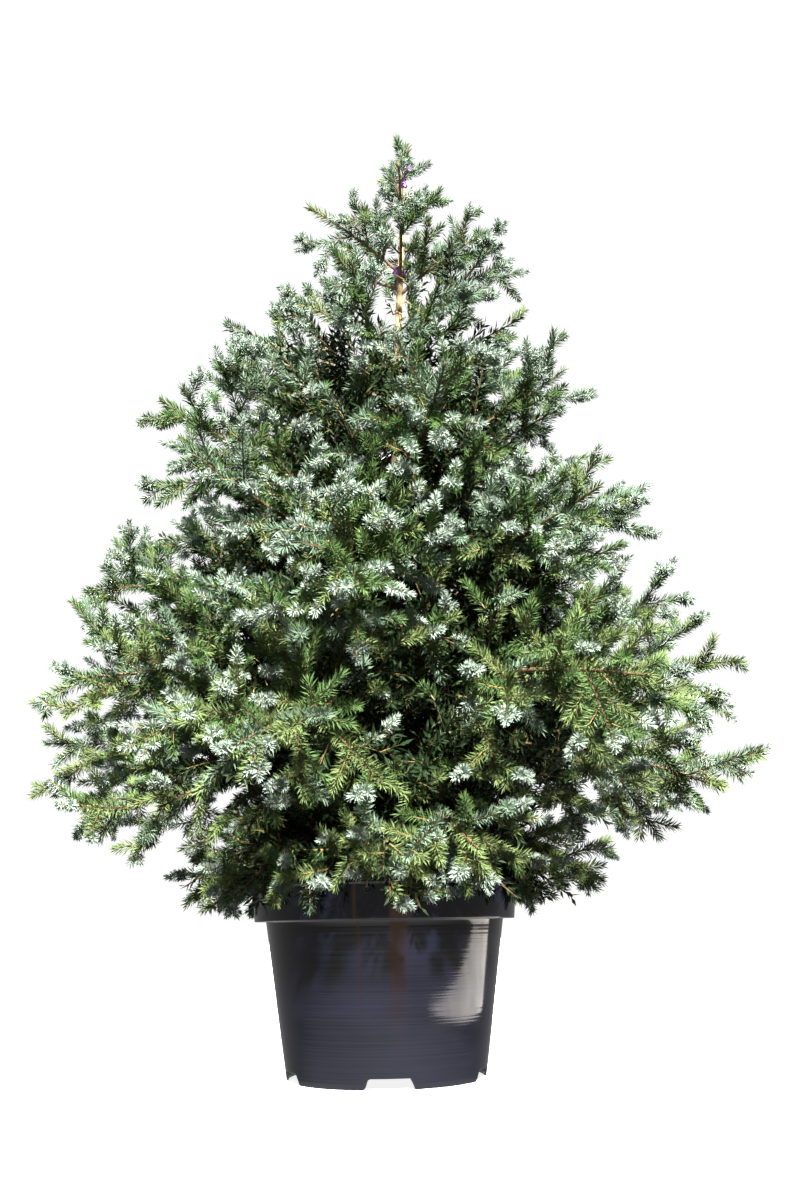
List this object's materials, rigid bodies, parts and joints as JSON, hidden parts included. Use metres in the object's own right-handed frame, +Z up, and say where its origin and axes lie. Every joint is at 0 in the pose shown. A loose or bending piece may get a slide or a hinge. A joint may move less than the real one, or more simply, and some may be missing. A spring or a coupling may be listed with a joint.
{
  "type": "potted blue spruce",
  "caption": "Young blue spruce with a straight trunk, tiers of spreading needled boughs and a low bushy crown, growing in a round black nursery pot.",
  "frame": {"origin": "on the ground under the middle of the pot, level with the underside of its foot ring", "axes": "+Z up along the pot's axis, -Y towards the viewer, +X to the viewer's right"},
  "size_m": [0.8868, 0.8496, 1.3087],
  "materials": {
    "pot_plastic": "satin",
    "soil": "matte",
    "bark": "matte",
    "needles": "matte"
  },
  "bodies": {
    "root": {"pot": "pot_plastic", "soil": "soil", "trunk": "bark", "bough_01": "bark", "bough_02": "bark", "bough_03": "bark", "bough_04": "bark", "bough_05": "bark", "bough_06": "bark", "bough_07": "bark", "bough_08": "bark", "bough_09": "bark", "bough_10": "bark", "bough_11": "bark", "bough_12": "bark", "foliage_01": "needles", "foliage_02": "needles", "foliage_03": "needles", "foliage_04": "needles", "foliage_05": "needles", "foliage_06": "needles", "foliage_07": "needles", "foliage_08": "needles", "foliage_09": "needles", "foliage_10": "needles", "foliage_11": "needles", "foliage_12": "needles", "foliage_13": "needles", "foliage_14": "needles", "foliage_15": "needles", "foliage_16": "needles", "foliage_17": "needles", "foliage_18": "needles", "foliage_19": "needles", "foliage_20": "needles", "foliage_21": "needles", "foliage_22": "needles", "foliage_23": "needles", "foliage_24": "needles", "foliage_25": "needles", "foliage_26": "needles", "foliage_27": "needles", "foliage_28": "needles", "foliage_29": "needles", "foliage_30": "needles", "foliage_31": "needles", "foliage_32": "needles", "foliage_33": "needles", "foliage_34": "needles", "foliage_35": "needles", "foliage_36": "needles", "foliage_37": "needles", "foliage_38": "needles", "foliage_39": "needles", "foliage_40": "needles", "foliage_41": "needles", "foliage_42": "needles", "foliage_43": "needles", "leader_foliage": "needles"}
  },
  "joints": []
}
